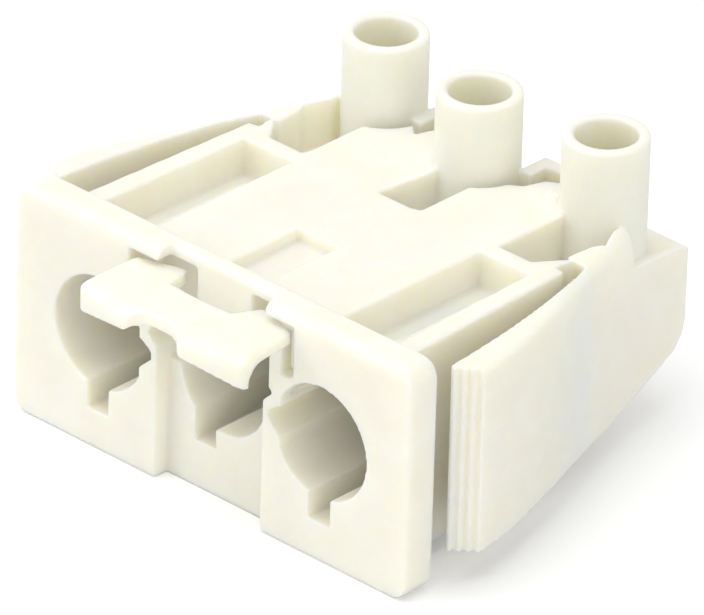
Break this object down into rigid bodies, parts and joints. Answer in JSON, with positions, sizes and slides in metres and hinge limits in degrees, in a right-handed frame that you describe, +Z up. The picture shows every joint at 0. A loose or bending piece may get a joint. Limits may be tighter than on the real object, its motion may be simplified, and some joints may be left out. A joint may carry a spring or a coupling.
{
  "type": "wire to board connector housing",
  "caption": "Snap-in mains connector housing: stepped flange with keyed contact openings, rocking release latch, two side snap arms, screw access sleeves over the wire passages.",
  "frame": {"origin": "centre of the bounding box's bottom face, on the underside of the front flange", "axes": "+X across the poles, +Y from the mating face towards the wire side, +Z up along the screw sleeves"},
  "size_m": [0.0392, 0.0382, 0.0217],
  "materials": {
    "ivory_nylon": "fine satin moulding, slightly translucent"
  },
  "bodies": {
    "root": {"connector_housing": "ivory_nylon"}
  },
  "joints": []
}
